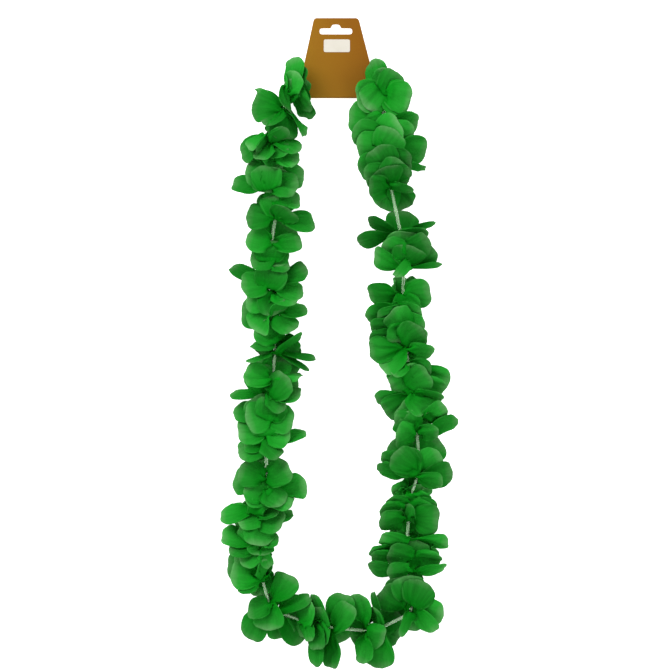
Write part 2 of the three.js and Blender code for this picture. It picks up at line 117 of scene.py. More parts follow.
# ---------------------------------------------------------------- petals
# For each blossom and each of its two layers: where the ends of its visible petals are in the frame,
# how wide each looks, and "d" for one that lies low.
PETALS = {
    1: {"A": [(300, 64, 16), (309, 120, 12), (298, 78, 20, "d"), (286, 106, 8, "d"), (307, 106, 10, "d")],
        "B": [(288, 113, 9), (291, 57, 20), (287, 78, 12), (301, 74, 18), (312, 110, 8)]},
    2: {"A": [(252, 104, 34), (308, 134, 10), (257, 87, 13), (264, 118, 24, "d"), (290, 124, 12, "d")],
        "B": [(283, 141, 25), (262, 124, 20), (280, 122, 20), (272, 132, 20, "d"), (296, 128, 10, "d")]},
    3: {"A": [(241, 154, 26), (300, 150, 20), (284, 132, 18), (257, 158, 12), (268, 158, 20)],
        "B": [(256, 160, 12), (276, 171, 13), (299, 161, 18), (262, 142, 16), (280, 150, 22)]},
    4: {"A": [(246, 169, 22), (304, 175, 26), (270, 190, 30)],
        "B": [(232, 185, 18), (298, 188, 20), (282, 166, 24), (268, 176, 28)]},
    5: {"A": [(286, 187, 32), (258, 207, 16, "d"), (300, 203, 20)],
        "B": [(247, 214, 26), (316, 222, 20), (277, 194, 28), (288, 204, 24)]},
    6: {"A": [(246, 239, 22), (302, 243, 20), (270, 269, 32), (262, 225, 28, "d"), (291, 226, 30, "d")],
        "B": [(254, 256, 20), (286, 256, 16), (271, 242, 30), (264, 264, 24, "d"), (277, 264, 22, "d")]},
    7: {"A": [(232, 264, 16), (241, 284, 20), (273, 268, 32), (306, 265, 18), (303, 294, 18)],
        "M": [(246, 298, 24), (298, 304, 20), (276, 316, 26)],
        "B": [(241, 310, 36), (307, 308, 16), (293, 332, 20), (286, 300, 14), (256, 332, 24)]},
    8: {"A": [(258, 324, 26), (250, 347, 6), (290, 363, 26, "d"), (264, 358, 22, "d")],
        "B": [(246, 362, 5), (317, 358, 6), (310, 369, 5), (292, 376, 24, "d"), (303, 334, 6)]},
    9: {"A": [(244, 374, 20), (302, 374, 6), (298, 384, 14, "d"), (284, 356, 24, "d"), (262, 358, 22, "d")],
        "B": [(255, 367, 32), (287, 375, 30), (231, 391, 12), (301, 392, 14), (285, 405, 16)]},
    10: {"A": [(256, 396, 34), (234, 408, 19), (293, 419, 22), (274, 402, 26), (246, 420, 24)],
         "M": [(238, 430, 28), (290, 431, 22), (266, 416, 30)],
         "B": [(307, 434, 11), (280, 456, 15), (238, 453, 22), (250, 436, 28), (252, 462, 20, "d")]},
    11: {"A": [(239, 468, 24), (290, 468, 24), (233, 481, 26), (268, 506, 26), (256, 462, 22, "d")],
         "B": [(308, 484, 24), (293, 500, 10), (281, 508, 18), (249, 494, 20), (249, 483, 28)]},
    12: {"A": [(221, 518, 20), (262, 494, 17), (280, 505, 14), (233, 519, 20, "d"), (272, 510, 18, "d")],
         "B": [(294, 514, 7), (284, 526, 24), (238, 524, 20), (256, 546, 26)]},
    13: {"A": [(221, 535, 22), (260, 557, 24), (272, 530, 18), (240, 528, 18)],
         "B": [(229, 549, 16), (246, 562, 16), (264, 564, 14), (252, 566, 20, "d"), (242, 556, 20, "d")]},
    14: {"A": [(226, 569, 34), (236, 554, 22), (264, 557, 8), (241, 581, 20, "d")],
         "B": [(237, 581, 16), (231, 574, 26), (264, 594, 12, "d"), (244, 580, 18, "d"), (261, 590, 14, "d")]},
    15: {"A": [(247, 611, 21), (289, 574, 28), (264, 594, 14, "d"), (245, 638, 28), (268, 630, 26)],
         "B": [(303, 640, 24, "d"), (312, 600, 14), (302, 610, 22, "d"), (284, 638, 26, "d"), (302, 626, 22, "d")]},
    16: {"A": [(310, 601, 14), (309, 641, 14), (296, 616, 22, "d"), (300, 606, 16, "d"), (298, 634, 18, "d")],
         "M": [(316, 593, 12), (312, 667, 14), (315, 610, 16), (320, 650, 12), (316, 636, 18)],
         "B": [(342, 593, 26), (333, 669, 20), (351, 604, 20), (344, 640, 18, "d"), (346, 620, 24, "d")]},
    17: {"A": [(357, 593, 22), (364, 664, 18), (352, 610, 22, "d"), (352, 640, 20, "d"), (378, 636, 24)],
         "B": [(375, 591, 6), (376, 668, 34), (396, 610, 24, "d"), (402, 631, 22, "d"), (374, 606, 12)]},
    18: {"A": [(383, 588, 26), (398, 576, 30), (400, 637, 10), (404, 622, 16, "d"), (392, 600, 26, "d")],
         "B": [(424, 581, 32), (408, 575, 32), (443, 618, 26), (434, 632, 20), (430, 600, 24, "d")]},
    19: {"A": [(379, 540, 20), (449, 545, 18), (436, 540, 26, "d"), (369, 554, 13), (390, 532, 20, "d")],
         "M": [(371, 558, 14), (442, 556, 18), (392, 556, 26)],
         "B": [(368, 564, 15), (446, 568, 14), (387, 574, 18), (415, 539, 34), (410, 580, 20, "d")]},
    20: {"A": [(392, 508, 12, "d"), (421, 503, 20), (412, 479, 22, "d"), (423, 481, 18, "d"), (404, 500, 20, "d")],
         "M": [(381, 516, 20), (436, 512, 24), (426, 520, 26), (386, 505, 14)],
         "B": [(379, 524, 24), (439, 521, 30), (402, 504, 9), (392, 532, 22, "d"), (426, 536, 24, "d")]},
    21: {"A": [(440, 441, 30, "d"), (392, 441, 22, "d"), (398, 466, 28), (408, 436, 24, "d"), (428, 436, 26, "d")],
         "M": [(380, 461, 20), (442, 457, 28), (394, 452, 28)],
         "B": [(376, 468, 18), (452, 472, 26), (443, 484, 14), (399, 452, 32), (418, 490, 16, "d")]},
    22: {"A": [(406, 409, 30), (446, 410, 19), (432, 420, 24, "d"), (394, 422, 20)],
         "B": [(459, 424, 18), (395, 434, 22), (438, 430, 20), (414, 440, 22, "d"), (400, 414, 28)]},
    23: {"A": [(392, 352, 20, "d"), (431, 371, 22), (452, 389, 27), (394, 378, 18), (406, 350, 22, "d")],
         "M": [(392, 388, 22), (444, 390, 18), (420, 374, 30)],
         "B": [(375, 400, 15), (385, 414, 28), (428, 415, 26), (443, 402, 12), (403, 364, 32)]},
    24: {"A": [(371, 331, 20), (423, 332, 22), (398, 316, 24), (404, 346, 26)],
         "M": [(370, 341, 22), (426, 343, 20), (412, 330, 24)],
         "B": [(369, 352, 27), (434, 354, 18), (382, 371, 22), (388, 340, 16, "d"), (412, 368, 24, "d")]},
    25: {"A": [(368, 298, 26), (431, 293, 26), (397, 279, 16, "d"), (411, 279, 14, "d"), (410, 316, 26)],
         "B": [(366, 317, 13), (423, 311, 17), (400, 324, 32), (380, 322, 16), (402, 298, 26, "d")]},
    26: {"A": [(356, 240, 13), (368, 219, 10), (428, 232, 16), (404, 211, 30, "d"), (436, 224, 6)],
         "M": [(430, 242, 22), (382, 244, 16), (402, 236, 32)],
         "B": [(373, 254, 20), (433, 246, 26), (442, 264, 5), (395, 277, 10), (412, 246, 30)]},
    27: {"A": [(358, 169, 22), (426, 169, 6), (411, 164, 16), (384, 157, 30), (392, 178, 32)],
         "M": [(366, 180, 24), (409, 178, 18), (396, 162, 28)],
         "B": [(378, 205, 27, "d"), (404, 210, 18, "d"), (413, 192, 6), (369, 188, 22), (384, 167, 32)]},
    28: {"A": [(348, 116, 32), (419, 121, 18), (372, 136, 30), (386, 106, 30, "d")],
         "M": [(352, 131, 24), (414, 134, 22), (396, 128, 32)],
         "B": [(357, 147, 24), (427, 149, 26), (378, 160, 30, "d"), (396, 160, 30, "d"), (388, 142, 34)]},
    29: {"A": [(376, 59, 17), (391, 70, 26), (366, 108, 24), (407, 108, 24), (366, 86, 24)],
         "B": [(357, 98, 38), (410, 100, 38), (401, 75, 26), (384, 116, 36, "d"), (376, 76, 24, "d")]},
}
# how pale or dark each blossom is painted: partly painted shade and painted light of blossoms lying steep or turned
# from the light, partly the cloth's own dye
BLOSSOM_SHADE_AND_DYE = {1: 0.10, 2: -0.12, 3: -0.06, 4: -0.05, 5: -0.08, 6: 0.02, 7: -0.04, 8: -0.42, 9: -0.02, 10: 0.12, 11: -0.06,
         12: 0.0, 13: 0.14, 14: 0.06, 15: -0.10, 16: -0.08, 17: -0.30, 18: -0.42, 19: -0.06, 20: -0.02, 21: -0.14,
         22: 0.08, 23: -0.02, 24: -0.02, 25: 0.06, 26: -0.30, 27: -0.42, 28: 0.10, 29: 0.16}
# petals painted far darker or paler than the rest, by the place of their ends: painted shade in dark hollows and
# painted light on bright lobes, partly the cloth's own dye
PETAL_SHADE_AND_DYE = {(369, 188): -0.30, (392, 178): -0.60, (384, 167): -0.60, (411, 164): -0.40, (409, 178): -0.45, (396, 162): -0.25,
       (424, 581): -0.45, (408, 575): -0.45, (383, 588): -0.35, (398, 576): -0.40, (396, 610): -0.35,
       (402, 631): -0.30, (443, 618): 0.50, (434, 632): 0.50, (306, 265): -0.40, (290, 363): -0.30,
       (264, 358): -0.30, (303, 640): -0.30, (302, 626): -0.30, (394, 578): -0.2, (376, 668): 0.30, (364, 664): 0.25}

for _n in range(19, 30):
    PETALS[_n]["A"], PETALS[_n]["B"] = PETALS[_n]["B"], PETALS[_n]["A"]
# straws with no petal over them, by the number of the blossom before them
BARE = (5, 8, 10, 12, 14, 15, 16, 17, 18, 19, 20, 21, 23, 25, 26)

COLS, RINGS = 21, 19
NOTCH_RING = 5
NOTCH_S = 0.28
theta = np.linspace(-math.pi / 2, math.pi / 2, COLS)
T = np.sin(theta)
ring_s = np.concatenate([np.linspace(0, NOTCH_S, NOTCH_RING + 1), np.linspace(NOTCH_S, 1, RINGS - NOTCH_RING)[1:]])
R_SIDE = 0.73 * PETAL_LENGTH
BLUNT = 0.78


def half_width(sj):
    """Half the petal's width at this share of the way to its end."""
    if sj <= NOTCH_S + 1e-9:
        return (HUB_R + (R_SIDE - HUB_R) * sj) * math.sin(math.pi / 5) * 0.98
    q = (sj - NOTCH_S) / (1 - NOTCH_S)
    half0 = (HUB_R + (R_SIDE - HUB_R) * NOTCH_S) * math.sin(math.pi / 5) * 0.98
    return half0 + (PETAL_HALF - half0) * math.sin(math.pi / 2 * min(1, q * 1.02)) ** 0.85


def smooth(x):
    x = np.clip(x, 0, 1)
    return x * x * (3 - 2 * x)


def centreline(root, first, tip, length, rise, slope, droop):
    """From the string to the end of the petal: up (or down), over a soft fold, and on nearly flat."""
    run = tip[:2] - root[:2]
    d = np.linalg.norm(run)
    e = np.array([run[0], run[1], 0.0]) / max(d, 1e-6)
    bend = 3.0
    spare = max(length - d - 0.57 * bend, 0.8)
    h = abs(rise) if rise < 0 else min(rise, max(1.2, 0.9 * spare))
    back = max((spare ** 2 - h ** 2) / (2 * spare), 6 + bend - d)
    climb = spare - back
    h = math.copysign(math.sqrt(max(climb ** 2 - back ** 2, 0.0)), rise)
    fold = root - e * back + np.array([0, 0, h])
    flat = max(d + back, 4.0)
    steps = np.linspace(0, 1, 9)[1:]
    way = [root, root + first * 1.6, fold]
    for t in steps:
        way.append(fold + e * flat * t + np.array([0, 0, math.tan(slope) * flat * t - droop * t * t]))
    way = np.array(way)
    seg = np.linalg.norm(np.diff(way, axis=0), axis=1)
    s = np.concatenate([[0], np.cumsum(seg)])
    n = 96
    q = np.linspace(0, s[-1], n)
    c = np.stack([np.interp(q, s, way[:, k]) for k in range(3)], -1)
    # round the corners off
    half = 8
    pad = np.concatenate([2 * c[0] - c[half:0:-1], c, 2 * c[-1] - c[-2:-half - 2:-1]])
    kern = np.hanning(2 * half + 3)[1:-1]
    kern /= kern.sum()
    c = np.stack([np.convolve(pad[:, k], kern, mode="valid") for k in range(3)], -1)
    dd = np.gradient(c, axis=0)
    seg = np.linalg.norm(np.diff(c, axis=0), axis=1)
    return c, dd, np.concatenate([[0], np.cumsum(seg)])


RHO = np.zeros((RINGS, COLS))
ACROSS = np.zeros((RINGS, COLS))
for _j, _s in enumerate(ring_s):
    for _k, _t in enumerate(theta):
        _tip = R_SIDE + (PETAL_LENGTH - R_SIDE) * max(0.0, math.cos(_t)) ** BLUNT
        RHO[_j, _k] = (HUB_R + (_tip - HUB_R) * _s) / PETAL_LENGTH
    ACROSS[_j] = T * half_width(_s)
FRAC = (RHO * PETAL_LENGTH - HUB_R) / (PETAL_LENGTH - HUB_R)


FAN = (ACROSS / PETAL_HALF) / np.maximum(FRAC + 0.12, 0.12)
_inward = np.minimum(np.array([half_width(q) for q in ring_s])[:, None] - np.abs(ACROSS), (RHO[-1][None] - RHO) * PETAL_LENGTH)
RIM = np.clip(1 - _inward / 1.1, 0, 1) * (ring_s > NOTCH_S)[:, None]
_tone_rng = random.Random(4021)
TONES = [_tone_rng.random() for _ in range(997)]


def petal_points(hub, w, root_dir, spec, length, seed, rise, slope, droop):
    """One petal as a grid of points."""
    rng = random.Random(seed)
    root = hub + root_dir * HUB_R
    z = hub[2] + rise
    for _ in range(3):
        xy = at_px(spec[0], spec[1], z)
        tip = np.array([xy[0], xy[1], z])
        far = np.linalg.norm(tip[:2] - root[:2])
        c, d, s = centreline(root, root_dir, tip, max(length, min(far * 1.01, PETAL_LENGTH * 1.16)), rise, slope, droop)
        z = c[-1, 2]
    total = s[-1]
    tangents = d / np.linalg.norm(d, axis=1)[:, None]
    # side vector at the root: round the string; at the end: as wide as the petal looks
    root_side = unit(np.cross(w, root_dir))
    end_t = tangents[-1]
    level = np.cross([0, 0, 1.0], end_t)
    level = unit(level) if np.linalg.norm(level) > 0.05 else u_perp(end_t)
    steep = unit(np.cross(end_t, level))
    phi = math.acos(min(1.0, max(0.12, spec[2] / 31.0)))
    if phi < 0.2:
        phi = 0.16
    best = None
    for a in (1, -1):
        for b in (1, -1):
            cand = unit(level * math.cos(phi) * a + steep * math.sin(phi) * b)
            # the edge towards the next blossom lies higher, as roof tiles do
            score = cand @ root_side + 0.5 * (cand @ w) * (1 if cand[2] >= 0 else -1)
            if best is None or score > best[0]:
                best = (score, cand)
    end_side = best[1]
    ragged = 1 + 0.022 * np.sin(T * rng.uniform(4, 7) + rng.uniform(0, 6.3))[None] * FRAC ** 3
    arc = np.clip(FRAC * ragged, 0, 1) * total
    C = np.stack([np.interp(arc, s, c[:, a]) for a in range(3)], -1)
    TG = np.stack([np.interp(arc, s, tangents[:, a]) for a in range(3)], -1)
    TG /= np.linalg.norm(TG, axis=-1)[..., None]
    m = smooth(FRAC / 0.5)[..., None]
    S = root_side * (1 - m) + end_side * m
    S = S - TG * (S * TG).sum(-1)[..., None]
    S /= np.maximum(np.linalg.norm(S, axis=-1), 1e-6)[..., None]
    N = np.cross(TG, S)
    # cup, curled end, creases that spread from the root
    up_sign = 1.0 if N[-1, COLS // 2, 2] >= 0 else -1.0
    calm = min(1.0, spec[2] / 18.0)
    cup = rng.uniform(-0.8, 1.1) * calm
    curl = rng.uniform(-1.4, 0.9) * calm
    lateral = ACROSS / PETAL_HALF
    lift = cup * up_sign * (lateral ** 2 - 0.35) * smooth(FRAC * 1.2)
    lift = lift + curl * up_sign * np.clip(FRAC - 0.6, 0, 1) ** 2 * 5.0
    angle = lateral / np.maximum(FRAC + 0.12, 0.12)
    for n in range(4):
        # pleats with sharp ridges
        freq = rng.uniform(1.4, 5.5)
        wave = 1 - 2 * np.abs(np.sin(freq * angle * 1.05 + rng.uniform(0, 6.3))) ** 0.8
        lift = lift + rng.uniform(0.14, 0.50) * calm * wave * smooth(FRAC * 1.8) * (0.55 + 0.45 * FRAC)
    # a fold right across the petal, as when it has been packed flat
    for n in range(2):
        a0, b0, c0 = rng.uniform(-1.4, 1.4), rng.uniform(0.35, 0.85), rng.uniform(1.4, 4.4) * calm
        lift = lift + up_sign * c0 * rng.choice((-1, 1)) * np.abs(FRAC - b0 + a0 * 0.35 * lateral) * smooth(FRAC * 1.5)
    lift = lift + rng.uniform(0.2, 0.7) * np.sin(lateral * 5.0 + FRAC * rng.uniform(3, 7) + rng.uniform(0, 6.3)) * FRAC ** 1.5
    # a corner of the end that has curled over
    corner = np.clip(lateral * rng.choice((-1, 1)) - 0.30, 0, 1) ** 1.6 * smooth(FRAC * 1.6 - 0.45)
    lift = lift + up_sign * rng.choice((-1, -1, 1)) * rng.uniform(1.0, 8.0) * calm * corner
    # a soft sideways bend of the whole petal
    bend = rng.uniform(-1.5, 1.5)
    return C + S * (ACROSS + bend * FRAC ** 2)[..., None] + N * lift[..., None]


def u_perp(t):
    a = np.array([1.0, 0, 0]) if abs(t[0]) < 0.8 else np.array([0, 1.0, 0])
    return unit(np.cross(t, a))


def angle_diff(a, b):
    return (a - b + math.pi) % (2 * math.pi) - math.pi


def frame_px(p, z):
    """The frame's own numbers for a point."""
    q = CAM_XY + (p[:2] - CAM_XY) * CAM_D / (CAM_D - (z - REF_Z)) - SHIFT[:2]
    return q[0] / PX + 339.5, 342 - q[1] / PX


def hidden_spec(azimuth, hub, w, u, lean, visible, rng):
    """A petal under the others: it leaves the string at this azimuth and lies low beneath a visible one."""
    side = 1 if math.cos(azimuth) >= 0 else -1
    hosts = [p for p in visible if side * ((p[0][0] - hub[0]) * u[0] + (p[0][1] - hub[1]) * u[1]) > 4]
    widest = 33.0
    if hosts:
        host, wide = hosts[rng.randrange(len(hosts))]
        off = (host[:2] - hub[:2]) * rng.uniform(0.80, 0.96)
        widest = max(12.0, wide * 1.1)
    else:
        off = u[:2] * side * rng.uniform(8, 15) + w[:2] * lean * rng.uniform(6, 12)
    x, y = frame_px(hub[:2] + off, 3)
    return (x, y, min(widest, rng.uniform(26, 33)), "d")


def clear_of_hub(spec, hub, w):
    """No petal ends right over its own root: it would have to fold twice."""
    least = 12.0 if len(spec) > 3 else 15.5 if spec[2] > 13 else 8.0
    r = at_px(spec[0], spec[1], hub[2] + 5) - hub[:2]
    away = np.linalg.norm(r)
    if away >= least:
        return spec
    r = r if away > 3 else r * 0.2 + unit([w[0], w[1]]) * 2
    x, y = frame_px(hub[:2] + unit(r) * least, hub[2] + 5)
    return (x, y) + tuple(spec[2:])


def layer_petals(index, which):
    """The five petals of one die-cut layer."""
    h = hubs[index]
    w = h["axis"]
    up = np.array([0, 1.0, 0]) if index in (0, COUNT - 1) else np.array([0, 0, 1.0])
    u = unit(np.cross(up, w))
    v = unit(np.cross(w, u))
    side = {"A": -1, "M": 0, "B": 1}[which]
    hub = h["at"] + w * side * h["len"] / 2
    seed0 = index * 101 + {"A": 7, "M": 29, "B": 53}[which]
    rng = random.Random(seed0)
    specs = [clear_of_hub(sp, hub, w * (side or 1)) for sp in PETALS[index + 1][which][:5]]
    # each petal's extra darkness or paleness: painted shade and light, partly its own dye
    shade_and_dye = [PETAL_SHADE_AND_DYE.get(sp[:2], 0.0) for sp in PETALS[index + 1][which][:5]]
    # one petal lies over the string, away from a straw that shows
    cover = 0
    near = [sp for sp in specs if len(sp) == 3 and np.linalg.norm(at_px(sp[0], sp[1], hub[2] + 8) - hub[:2]) < 22]
    if len(specs) < 5 and not near and index not in (0, COUNT - 1):
        bare_before, bare_after = index in BARE, index + 1 in BARE
        if which == "A":
            cover = 1 if bare_before else -1
        elif which == "B":
            cover = -1 if bare_after else 1
        else:
            cover = 1
        p = hub[:2] + w[:2] * cover * rng.uniform(15, 20) + u[:2] * rng.uniform(-4, 4)
        x, y = frame_px(p, hub[2] + 10)
        specs.append((x, y, rng.uniform(29, 33)))
        shade_and_dye.append(0.0)
    petals = []
    for n, spec in enumerate(specs):
        low = len(spec) > 3
        xy = at_px(spec[0], spec[1], hub[2] + 5)
        r = np.array([xy[0] - hub[0], xy[1] - hub[1], 0.0])
        across = r @ u
        away = np.linalg.norm(r)
        # near ones stand up first and fold over; far ones leave the string sideways
        azimuth = math.atan2((-1 if low else 1) * math.sqrt(max(PETAL_LENGTH ** 2 * 0.8 - across ** 2, 9.0)) * (0.35 if away > 27 else 1.0), across)
        petals.append([azimuth, spec, PETAL_LENGTH * rng.uniform(0.98, 1.05), xy, shade_and_dye[n]])
    visible = [(p[3], p[1][2]) for p in petals]
    while len(petals) < 5:
        angles = sorted(p[0] for p in petals)
        gaps = [((angles[(n + 1) % len(angles)] - a) % (2 * math.pi) or 2 * math.pi, a) for n, a in enumerate(angles)]
        gap, start = max(gaps)
        azimuth = start + gap / 2
        spec = hidden_spec(azimuth, hub, w, u, side, visible, rng)
        # a petal under the others is 0.1 darker: painted shade
        petals.append([math.atan2(math.sin(azimuth), math.cos(azimuth)), spec, PETAL_LENGTH * rng.uniform(0.9, 1.0), None, -0.1])
    petals.sort(key=lambda p: p[0])
    angles = [p[0] for p in petals]
    sx = sum(math.cos(a - k * 2 * math.pi / 5) for k, a in enumerate(angles))
    sy = sum(math.sin(a - k * 2 * math.pi / 5) for k, a in enumerate(angles))
    turn = math.atan2(sy, sx)
    grids = []
    for k, (azimuth, spec, length, _, own_shade_and_dye) in enumerate(petals):
        slot_at = turn + k * 2 * math.pi / 5
        root = slot_at + 0.6 * max(-0.5, min(0.5, angle_diff(azimuth, slot_at)))
        rd = u * math.cos(root) + v * math.sin(root)
        xy = at_px(spec[0], spec[1], hub[2] + 5)
        r = np.array([xy[0] - hub[0], xy[1] - hub[1], 0.0])
        away, along = np.linalg.norm(r), r @ w
        if len(spec) > 3:
            rise, slope, droop = -(hub[2] - 1.2), 0.0, 0.0
        elif away < 26:
            # beside a straw that shows, the fold stays off it
            if (which == "A" and index in BARE and along > 0) or (which == "B" and index + 1 in BARE and along < 0):
                length = max(24.0, min(length, away + 9.0))
            rise = 7.5 + rng.uniform(-1.5, 3.0)
            slope = math.radians(rng.uniform(4, 10) if along > 0 else rng.uniform(-4, 6))
            droop = rng.uniform(0, 1.5)
        else:
            rise = rng.uniform(1.5, 5.0)
            slope = math.radians(rng.uniform(-6, 4))
            droop = rng.uniform(0, 4.0)
        grids.append(petal_points(hub, w, rd, spec, length, seed0 * 7 + k * 13, rise, slope, droop))
    return grids, [q[4] for q in petals]


layer_index = {}


def layer_mesh(grids):
    """The petals joined round the hub as one sheet: they part only beyond the notch."""
    out = [g.copy() for g in grids]
    for k in range(5):
        a, b = grids[k], grids[(k + 1) % 5]
        mid = (a[:NOTCH_RING + 1, -1] + b[:NOTCH_RING + 1, 0]) / 2
        for g, src, col, sign in ((out[k], a, -1, 1), (out[(k + 1) % 5], b, 0, -1)):
            delta = np.zeros((RINGS, 3))
            delta[:NOTCH_RING + 1] = mid - src[:NOTCH_RING + 1, col]
            fade = 1 - smooth((ring_s - NOTCH_S) / 0.3)
            delta[NOTCH_RING + 1:] = delta[NOTCH_RING] * fade[NOTCH_RING + 1:, None]
            weight = np.clip(T * sign, 0, 1) ** 1.6
            g += delta[:, None, :] * weight[None, :, None]
    verts, index_of = [], layer_index
    index_of.clear()

    def vid(k, j, c):
        if j <= NOTCH_RING and c == COLS - 1:
            k, c = (k + 1) % 5, 0
        key = (k, j, c)
        if key not in index_of:
            index_of[key] = len(verts)
            verts.append(out[k][j, c])
        return index_of[key]

    faces = []
    for k in range(5):
        for j in range(RINGS - 1):
            for c in range(COLS - 1):
                faces.append((vid(k, j, c), vid(k, j, c + 1), vid(k, j + 1, c + 1), vid(k, j + 1, c)))
    return np.array(verts), faces


def on_table(P):
    z = P[..., 2] - 0.25
    P[..., 2] = np.where(z < 1.5, 1.5 * np.exp(np.clip(z / 1.5 - 1, -30, 0)), z) + 0.25
    return P


def view_directions():
    """Directions to try when two petals are parted, closer together round the vertical."""
    out = []
    for tilt in list(range(0, 61, 5)) + [70, 80, 90]:
        count = 1 if tilt == 0 else max(8, int(2 * math.pi * math.sin(math.radians(tilt)) / math.radians(7 if tilt <= 60 else 12)))
        for k in range(count):
            a = 2 * math.pi * k / count
            n = (math.sin(math.radians(tilt)) * math.cos(a), math.sin(math.radians(tilt)) * math.sin(a), math.cos(math.radians(tilt)))
            out += [n, (-n[0], -n[1], -n[2])]
    return np.array(out)


def keep_lengths(X, parts, weight, stiff):
    for sa, sb, rest in parts:
        A, B = X[sa], X[sb]
        d = B - A
        length = np.linalg.norm(d, axis=-1)
        wa, wb = weight[sa], weight[sb]
        c = (stiff * (length - rest) / np.maximum(length, 1e-6) / np.maximum(wa + wb, 1e-3))[..., None] * d
        X[sa] += c * wa[..., None]
        X[sb] -= c * wb[..., None]


def settle(X, rounds, gap):
    """Lays the petals clear of one another: each two are parted along the way that moves them least,
    and the cloth keeps its lengths."""
    n_p = len(X)
    al = slice(None)
    slices = [((al, slice(0, -1)), (al, slice(1, None))), ((al, al, slice(0, -1)), (al, al, slice(1, None))),
              ((al, slice(0, -1), slice(0, -1)), (al, slice(1, None), slice(1, None))),
              ((al, slice(0, -1), slice(1, None)), (al, slice(1, None), slice(0, -1))),
              ((al, slice(0, -3)), (al, slice(3, None))), ((al, al, slice(0, -3)), (al, al, slice(3, None)))]
    flat = np.stack([RHO * PETAL_LENGTH, ACROSS, np.zeros_like(RHO)], -1)[None]
    parts = [(a, b, np.minimum(np.linalg.norm(X[b] - X[a], axis=-1), 1.06 * np.linalg.norm(flat[b] - flat[a], axis=-1)))
             for a, b in slices]
    give = smooth((ring_s - 0.10) / 0.35)
    weight = np.tile(give[None, :, None], (n_p, 1, COLS))
    dirs = view_directions()
    for turn in range(rounds):
        pts = X[:, NOTCH_RING + 1::2, ::3].reshape(n_p, -1, 3)
        proj = pts @ dirs.T
        hi, lo = proj.max(1), proj.min(1)
        bmin, bmax = pts.min(1), pts.max(1)
        near = np.all((bmin[:, None] < bmax[None] + gap) & (bmin[None] < bmax[:, None] + gap), axis=2)
        pa, pb = np.nonzero(np.triu(near, 1))
        depth = hi[pa] - lo[pb]
        best = depth.argmin(1)
        depth = depth[np.arange(len(pa)), best]
        hit = np.nonzero(depth > -gap)[0]
        for q in hit[np.argsort(-depth[hit], kind="stable")]:
            a, b, n = pa[q], pb[q], dirs[best[q]]
            t = (hi[a, best[q]] + lo[b, best[q]]) / 2
            oa = np.maximum(X[a] @ n - (t - gap / 2), 0) * weight[a]
            ob = np.maximum((t + gap / 2) - X[b] @ n, 0) * weight[b]
            X[a] -= (oa * 0.5)[..., None] * n
            X[b] += (ob * 0.5)[..., None] * n
        for _ in range(8):
            keep_lengths(X, parts, weight, 0.40)
        X[..., 2] = np.clip(X[..., 2], 0.4, 48.0)
    return X


def thicken(P, faces, thick):
    F = np.array(faces)
    n = np.zeros_like(P)
    fn = np.cross(P[F[:, 2]] - P[F[:, 0]], P[F[:, 3]] - P[F[:, 1]])
    for c in range(4):
        np.add.at(n, F[:, c], fn)
    n /= np.maximum(np.linalg.norm(n, axis=1), 1e-9)[:, None]
    top, bottom = P + n * thick / 2, P - n * thick / 2
    bottom[:, 2] = np.maximum(bottom[:, 2], 0.02)
    top[:, 2] = np.maximum(top[:, 2], 0.02)
    count = len(P)
    out = [tuple(f) for f in faces] + [tuple(int(x) + count for x in f[::-1]) for f in faces]
    edges = {}
    for f in faces:
        for a, b in zip(f, f[1:] + f[:1]):
            edges[(a, b)] = edges.get((a, b), 0) + 1
    rim = [(a, b) for (a, b) in edges if (b, a) not in edges]
    first_rim = len(out)
    for a, b in rim:
        out.append((b, a, a + count, b + count))
    return np.concatenate([top, bottom]), out, first_rim


def new_mesh(name, verts_mm, faces, material, flat_from=None):
    me = bpy.data.meshes.new(name)
    me.from_pydata([tuple(p) for p in (np.asarray(verts_mm) / 1000).tolist()], [], faces)
    me.validate()
    flags = [True] * len(me.polygons)
    if flat_from is not None:
        for k in range(flat_from, len(flags)):
            flags[k] = False
    me.polygons.foreach_set("use_smooth", flags)
    me.materials.append(material)
    me.update()
    ob = bpy.data.objects.new(name, me)
    bpy.context.scene.collection.objects.link(ob)
    return ob


# ---------------------------------------------------------------- materials
def material(name):
    m = bpy.data.materials.new(name)
    m.use_nodes = True
    nt = m.node_tree
    return m, nt, nt.nodes["Principled BSDF"]


def node(nt, kind, **props):
    n = nt.nodes.new(kind)
    for k, val in props.items():
        setattr(n, k, val)
    return n


def ramp(nt, stops):
    r = nt.nodes.new("ShaderNodeValToRGB")
    r.color_ramp.elements[0].position, r.color_ramp.elements[0].color = stops[0]
    r.color_ramp.elements[1].position, r.color_ramp.elements[1].color = stops[-1]
    for pos, col in stops[1:-1]:
        e = r.color_ramp.elements.new(pos)
        e.color = col
    return r


